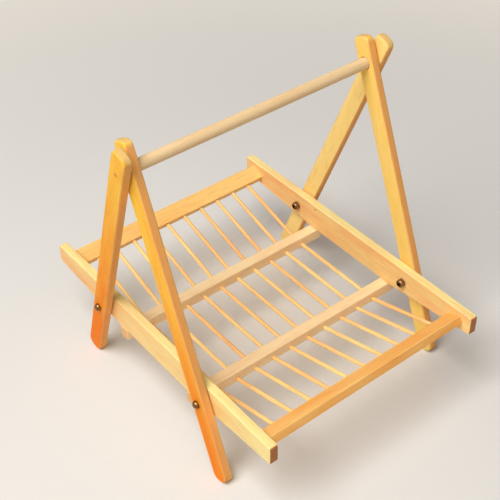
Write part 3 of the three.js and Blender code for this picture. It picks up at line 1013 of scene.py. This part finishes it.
def leg_reach(lean):
    """How far a leaning leg runs below the dowel, so that its lower corner ends just under the floor."""
    upright = math.cos(lean)
    slant = abs(math.sin(lean))
    rounding = FOOT_REACH * upright * slant / (upright + slant)
    return (handle.z + FOOT_FLAT_DEPTH + rounding - slant * LEG_WIDTH / 2) / upright


def leg_outline(foot):
    side = LEG_WIDTH / 2
    return softened([
        (Vector((-LEG_TIP, side)), LEG_TIP_REACH), (Vector((-LEG_TIP, -side)), LEG_TIP_REACH),
        (Vector((foot, -side)), FOOT_REACH), (Vector((foot, side)), FOOT_REACH)])


def leg_drills(end_name, to_pivot):
    """Cutters for the holes of a leg whose screw is that far below the dowel."""
    inner, outer = -LEG_THICKNESS / 2, LEG_THICKNESS / 2
    clear = LEG_THICKNESS
    if end_name == "front":
        return [drill(DOWEL_HOLE, (0, 0, -clear), (0, 0, clear)),
                drill(SCREW_HOLE, (to_pivot, 0, -clear), (to_pivot, 0, clear))]
    return [drill(DOWEL_HOLE, (0, 0, -clear), (0, 0, inner + DOWEL_SEAT)),
            drill(PIN_HOLE, (0, 0, inner), (0, 0, outer)),
            drill(PIN_HEAD_HOLE, (0, 0, outer - PIN_HEAD_DEPTH), (0, 0, clear)),
            drill(SLEEVE_HOLE, (to_pivot, 0, -clear), (to_pivot, 0, clear))]


print("legs cross", round(handle.z, 4), "m above the floor")

# %% [markdown]
# ## Legs
# Front and back legs lean in opposite ways and cross on the dowel, and both are sprung a little sideways to
# reach their screws. They could be bent with a modifier, but the spring is slight. A matrix with a small
# shear lays each straight leg in place, so a drill along the strip's thickness stays level on the basket.
# The outer face is painted deeper towards the foot, as painted shade, and the inner face stays pale, as the
# tone says.

# %% Legs
FOOT_CUT = 20 * MM
LEG_INNER_FACES = {"front": (105.7 * MM, 106.4 * MM), "back": (114.5 * MM, 106.35 * MM)}
LEG_OUTER_SHADE_TONES = {"front": (0.38, 0.92), "back": (0.46, 1.00)}
LEG_INNER_TONES = {"front": 0.14, "back": -0.04}
LEG_SHIFT = (1.3, 0.2, 0.1)


# Outer faces are painted darker towards the foot as painted shade.
def leg_tone_and_shade(p, foot, end_name):
    if p.z < 0:
        return LEG_INNER_TONES[end_name]
    top_tone, foot_tone = LEG_OUTER_SHADE_TONES[end_name]
    return top_tone + (foot_tone - top_tone) * max(0.0, p.x) / foot


for end_name, end in ENDS:
    foot_y = end * abs(pivot.y)
    drop = handle.z - pivot.z
    lean = math.atan2(foot_y - handle.y, drop)
    down = Vector((0, math.sin(lean), -math.cos(lean)))
    across = Vector((0, math.cos(lean), math.sin(lean)))
    to_pivot = math.hypot(foot_y - handle.y, drop)
    foot = leg_reach(lean)
    under_floor = turned(-math.degrees(lean), "Z") @ Matrix.Translation((handle.z + FOOT_CUT / 2, 0, 0))
    top_inner, pivot_inner = LEG_INNER_FACES[end_name]
    toe = (top_inner - pivot_inner) / drop
    for side, sign in SIDES:
        leg_name = "%s_%s_leg" % (end_name, side)
        leg = strip(leg_name, leg_outline(foot), LEG_THICKNESS, leg_edges, TIP_ARRIS)
        settle(leg)
        foot_block = block((FOOT_CUT, 2 * handle.z, 2 * LEG_THICKNESS), under_floor)
        carve(leg, leg_drills(end_name, to_pivot) + [foot_block])
        place = Matrix((
            (sign * toe * down.z, sign * toe * across.z, sign, sign * (top_inner + LEG_THICKNESS / 2)),
            (down.y, across.y, 0, handle.y),
            (down.z, across.z, 0, handle.z),
            (0, 0, 0, 1)))
        shift = (LEG_SHIFT[0] * end, LEG_SHIFT[1] * sign, LEG_SHIFT[2])
        finish_strip(leg, place, LEG_THICKNESS, shift, lambda p: leg_tone_and_shade(p, foot, end_name),
                     arris=LEG_ARRIS, narrow_side_width=LEG_WIDTH)
        body = "front_frame" if end_name == "front" else "back_leg_" + side
        dress(leg, body, "amber_bamboo", amber_bamboo, "%s_leg_%s" % (end_name, side))

# %% [markdown]
# ## Carrying dowel
# The dowel passes through both front legs and ends in blind seats in the back legs. A cylinder would do,
# but it is one more round rod, only thicker, so it comes from the same tree and gets its grain from there.
# Its ends are drilled for their pins.

# %% Carrying dowel
DOWEL_SIDES = 48
DOWEL_SEED = 5
PIN_GRIP = Vector((10 * MM, 0, 0))
PIN_RADIUS = 0.8 * MM

low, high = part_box("handle_dowel")
middle = (low + high) / 2
left_end = Vector((low.x, middle.y, middle.z))
right_end = Vector((high.x, middle.y, middle.z))
dowel = grow_rods("carrying_dowel", left_end, right_end, high.z - low.z, cream_bamboo,
                  Sides=DOWEL_SIDES, Seed=DOWEL_SEED)
carve(dowel, [drill(PIN_RADIUS + SEAT_GAP, place - PIN_GRIP, place + PIN_GRIP)
              for place in (left_end, right_end)])
smooth_faces(dowel)
dress(dowel, "front_frame", "cream_bamboo", cream_bamboo, "handle_dowel")

# %% [markdown]
# ## Head and shank of a fastener
# All fasteners are turned steel: a domed head on a shank. A lathe's way of working suits a grid: one side
# of it goes round the axis, and the other runs from the middle of the underside over the rim to the top.
# The tree bends the grid that way and joins a cylinder to it. A half sphere would be quicker, but its dome
# could not be made flatter or fuller.
# Where the bent grid meets itself its points are welded, so that the head is closed.

# %% Geometry Nodes tree for fasteners, head and shank
ROUND_STEPS, PROFILE_STEPS = 33, 21
SHANK_SIDES = ROUND_STEPS - 1
SHANK_OVERLAP = 0.3
WELD = 2e-6
BOOL = "NodeSocketBool"

fastener_tree, given, made = new_tree("fasteners", "GeometryNodeTree", [
    ("Geometry", GEOMETRY), ("Head Diameter", FLOAT, 0.007), ("Head Height", FLOAT, 0.003),
    ("Fullness", FLOAT, 2.0), ("Shank Diameter", FLOAT, 0.004), ("Shank Length", FLOAT, 0.008),
    ("Cross", BOOL, False), ("Cross Width", FLOAT, 0.0008), ("Cross Length", FLOAT, 0.004),
    ("Cross Depth", FLOAT, 0.0014), ("Seed", INT, 0), ("Material", MATERIAL),
], [("Geometry", GEOMETRY)])
tree = fastener_tree


def weld(tree, geometry):
    return add_node(tree, "GeometryNodeMergeByDistance", {"Geometry": geometry, "Distance": WELD}).outputs[0]


grid = add_node(tree, "GeometryNodeMeshGrid", {
    "Size X": 1.0, "Size Y": 1.0, "Vertices X": ROUND_STEPS, "Vertices Y": PROFILE_STEPS}).outputs[0]
round_share, profile_share, _ = separate(tree, add_node(tree, "GeometryNodeInputPosition").outputs[0])
angle = maths(tree, "MULTIPLY", round_share, 2 * math.pi)
climb = maths(tree, "MULTIPLY", profile_share, math.pi)
power = maths(tree, "DIVIDE", 2.0, given["Fullness"])
head_radius = maths(tree, "DIVIDE", given["Head Diameter"], 2.0)
reach = maths(tree, "POWER", maths(tree, "MAXIMUM", maths(tree, "COSINE", climb), 0.0), power)
reach = maths(tree, "MULTIPLY", reach, head_radius)
rise = maths(tree, "POWER", maths(tree, "MAXIMUM", maths(tree, "SINE", climb), 0.0), power)
rise = maths(tree, "MULTIPLY", rise, given["Head Height"])
lathe_place = combine(tree, maths(tree, "MULTIPLY", reach, maths(tree, "COSINE", angle)),
                      maths(tree, "MULTIPLY", reach, maths(tree, "SINE", angle)), rise)
head = add_node(tree, "GeometryNodeSetPosition", {"Geometry": grid, "Position": lathe_place}).outputs[0]
head = weld(tree, head)

overlap = maths(tree, "MULTIPLY", given["Head Height"], SHANK_OVERLAP)
shank_length = maths(tree, "ADD", given["Shank Length"], overlap)
shank_radius = maths(tree, "DIVIDE", given["Shank Diameter"], 2.0)
shank = add_node(tree, "GeometryNodeMeshCylinder", {
    "Vertices": SHANK_SIDES, "Radius": shank_radius, "Depth": shank_length}).outputs["Mesh"]
shank_middle = maths(tree, "SUBTRACT", overlap, maths(tree, "DIVIDE", shank_length, 2.0))
shank = add_node(tree, "GeometryNodeTransform", {
    "Geometry": shank, "Translation": combine(tree, 0.0, 0.0, shank_middle),
    "Rotation": (0.0, 0.0, math.pi / SHANK_SIDES)}).outputs[0]
joined = add_node(tree, "GeometryNodeMeshBoolean", {1: head}, operation="UNION", solver="EXACT")
tree.links.new(shank, joined.inputs[1])
plain = joined.outputs[0]
print("a head on its shank takes", len(fastener_tree.nodes), "nodes")

# %% [markdown]
# ## Cross recess
# A screw is driven by the cross in its head. Two crossed blocks are cut out of the dome, as a punch would
# press them in, and a switch leaves them out for nuts and pins.
# The recess is darkened as painted shade. The tree measures how far a point lies under the dome and stores it
# as the attribute recess for the metal. Painting it by hand would have to be done for every screw.

# %% Geometry Nodes tree for fasteners, cross recess
RECESS_SHADE_DEPTHS = (0.15, 0.6)
RECESS_SHADE_HEIGHT = 0.3

twice_deep = maths(tree, "MULTIPLY", given["Cross Depth"], 2.0)
arms = []
for length, width in (("Cross Length", "Cross Width"), ("Cross Width", "Cross Length")):
    size = combine(tree, given[length], given[width], twice_deep)
    arm = add_node(tree, "GeometryNodeMeshCube", {"Size": size}).outputs["Mesh"]
    arms.append(add_node(tree, "GeometryNodeTransform", {
        "Geometry": arm, "Translation": combine(tree, 0.0, 0.0, given["Head Height"])}).outputs[0])
cut = add_node(tree, "GeometryNodeMeshBoolean", {0: plain, 1: arms[0]},
               operation="DIFFERENCE", solver="EXACT")
tree.links.new(arms[1], cut.inputs[1])
shape = add_node(tree, "GeometryNodeSwitch", {0: given["Cross"], 1: plain, 2: cut.outputs[0]},
                 input_type="GEOMETRY").outputs[0]
shape = weld(tree, shape)

point_x, point_y, point_z = separate(tree, add_node(tree, "GeometryNodeInputPosition").outputs[0])
square_x = maths(tree, "MULTIPLY", point_x, point_x)
square_y = maths(tree, "MULTIPLY", point_y, point_y)
from_axis = maths(tree, "SQRT", maths(tree, "ADD", square_x, square_y))
out = maths(tree, "DIVIDE", from_axis, head_radius)
fallen = maths(tree, "MINIMUM", maths(tree, "POWER", out, given["Fullness"]), 1.0)
root = maths(tree, "DIVIDE", 1.0, given["Fullness"])
dome = maths(tree, "POWER", maths(tree, "SUBTRACT", 1.0, fallen), root)
surface = maths(tree, "MULTIPLY", dome, given["Head Height"])
below = maths(tree, "SUBTRACT", surface, point_z)
sunk = between(tree, maths(tree, "DIVIDE", below, given["Cross Depth"]), *RECESS_SHADE_DEPTHS)
in_cross = maths(tree, "MULTIPLY", sunk, given["Cross"])
in_head = between(tree, point_z, 0.0, maths(tree, "MULTIPLY", given["Head Height"], RECESS_SHADE_HEIGHT))
shape = name_attribute(tree, shape, "recess", "FLOAT", maths(tree, "MULTIPLY", in_cross, in_head))
print("with its cross", len(fastener_tree.nodes), "nodes")

# %% [markdown]
# ## Copies of a fastener
# Left and right fasteners are the same piece, turned to face opposite ways. The tree sets a copy on every
# point that it is given and turns it to that point's axis. Nobody stops every screw at the same angle, so
# each copy is also spun about its axis, from a fixed seed.

# %% Geometry Nodes tree for fasteners, copies
axis = read_named(tree, "axis", "FLOAT_VECTOR")
turn = add_node(tree, "FunctionNodeAlignRotationToVector", {"Vector": axis}, axis="Z").outputs[0]
spin = combine(tree, 0.0, 0.0, random_number(tree, 0.0, math.pi, given["Seed"]))
spin = add_node(tree, "FunctionNodeEulerToRotation", {0: spin}).outputs[0]
turn = add_node(tree, "FunctionNodeRotateRotation", {0: turn, 1: spin}, rotation_space="LOCAL").outputs[0]
copies = add_node(tree, "GeometryNodeInstanceOnPoints", {
    "Points": given["Geometry"], "Instance": shape, "Rotation": turn}).outputs[0]
copies = add_node(tree, "GeometryNodeRealizeInstances", {"Geometry": copies}).outputs[0]
copies = add_node(tree, "GeometryNodeSetMaterial", {
    "Geometry": copies, "Material": given["Material"]}).outputs[0]
tree.links.new(copies, made["Geometry"])
print("tree", fastener_tree.name, "with", len(fastener_tree.nodes), "nodes")

# %% [markdown]
# ## Screws, cap nuts and pins
# A head always ends flush with its solid's outermost face, so the seat under it is one head height further
# in. Screws look into the trough, and nuts and pins look outwards. Fasteners that ride on the same body are
# made together, which keeps the list of pieces short.

# %% Screws, cap nuts and pins
SCREW_SIZES = {"Head Diameter": 7.2 * MM, "Head Height": 4.4 * MM, "Fullness": 5.0, "Shank Diameter": 4 * MM,
               "Cross": True, "Cross Width": 1.5 * MM, "Cross Length": 5.4 * MM, "Cross Depth": 2.0 * MM}
SLEEVE_NUT_SIZES = {"Head Diameter": 6.6 * MM, "Head Height": 3.4 * MM, "Fullness": 2.2,
                    "Shank Diameter": 5.4 * MM}
NUT_SIZES = {**SLEEVE_NUT_SIZES, "Shank Diameter": 4 * MM}
PIN_SIZES = {"Head Diameter": 3.0 * MM, "Head Height": 0.8 * MM, "Fullness": 12.0, "Shank Diameter": 1.6 * MM}
FRONT_SCREW_SEED, BACK_SCREW_SEED, ROUND_HEAD_SEED = 3, 8, 1


def grow_fasteners(name, nodes, outwards, sizes, body, seed, material):
    """One fastener for each solid: outwards is 1 for heads on the outside and -1 for heads in the trough."""
    places, axes = [], []
    for node in nodes:
        low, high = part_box(node)
        middle = (low + high) / 2
        way = outwards * math.copysign(1, middle.x)
        seat = (high.x if way > 0 else low.x) - way * sizes["Head Height"]
        places.append((seat, middle.y, middle.z))
        axes += [way, 0.0, 0.0]
    points = bpy.data.meshes.new(name)
    points.from_pydata(places, [], [])
    store(points, "axis", "FLOAT_VECTOR", axes)
    low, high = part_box(nodes[0])
    length = high.x - low.x - sizes["Head Height"]
    values = {**sizes, "Shank Length": length, "Seed": seed, "Material": material}
    made = grow(name, points, fastener_tree, values)
    smooth_faces(made)
    dress(made, body, "steel", material, *nodes)


def both(name):
    return [name + "_left", name + "_right"]


grow_fasteners("front_screws", both("front_screw"), -1, SCREW_SIZES, "tray", FRONT_SCREW_SEED, steel)
grow_fasteners("back_screws", both("back_screw"), -1, SCREW_SIZES, "tray", BACK_SCREW_SEED, steel)
grow_fasteners("front_cap_nuts", both("front_cap_nut"), 1, NUT_SIZES, "tray", ROUND_HEAD_SEED, steel_with_painted_dark)
for side, _ in SIDES:
    grow_fasteners("back_cap_nut_of_" + side, ["back_cap_nut_" + side], 1, SLEEVE_NUT_SIZES,
                   "back_leg_" + side, ROUND_HEAD_SEED, steel_with_painted_dark)
grow_fasteners("dowel_pins", both("handle_pin"), 1, PIN_SIZES, "front_frame", ROUND_HEAD_SEED, browned_steel)
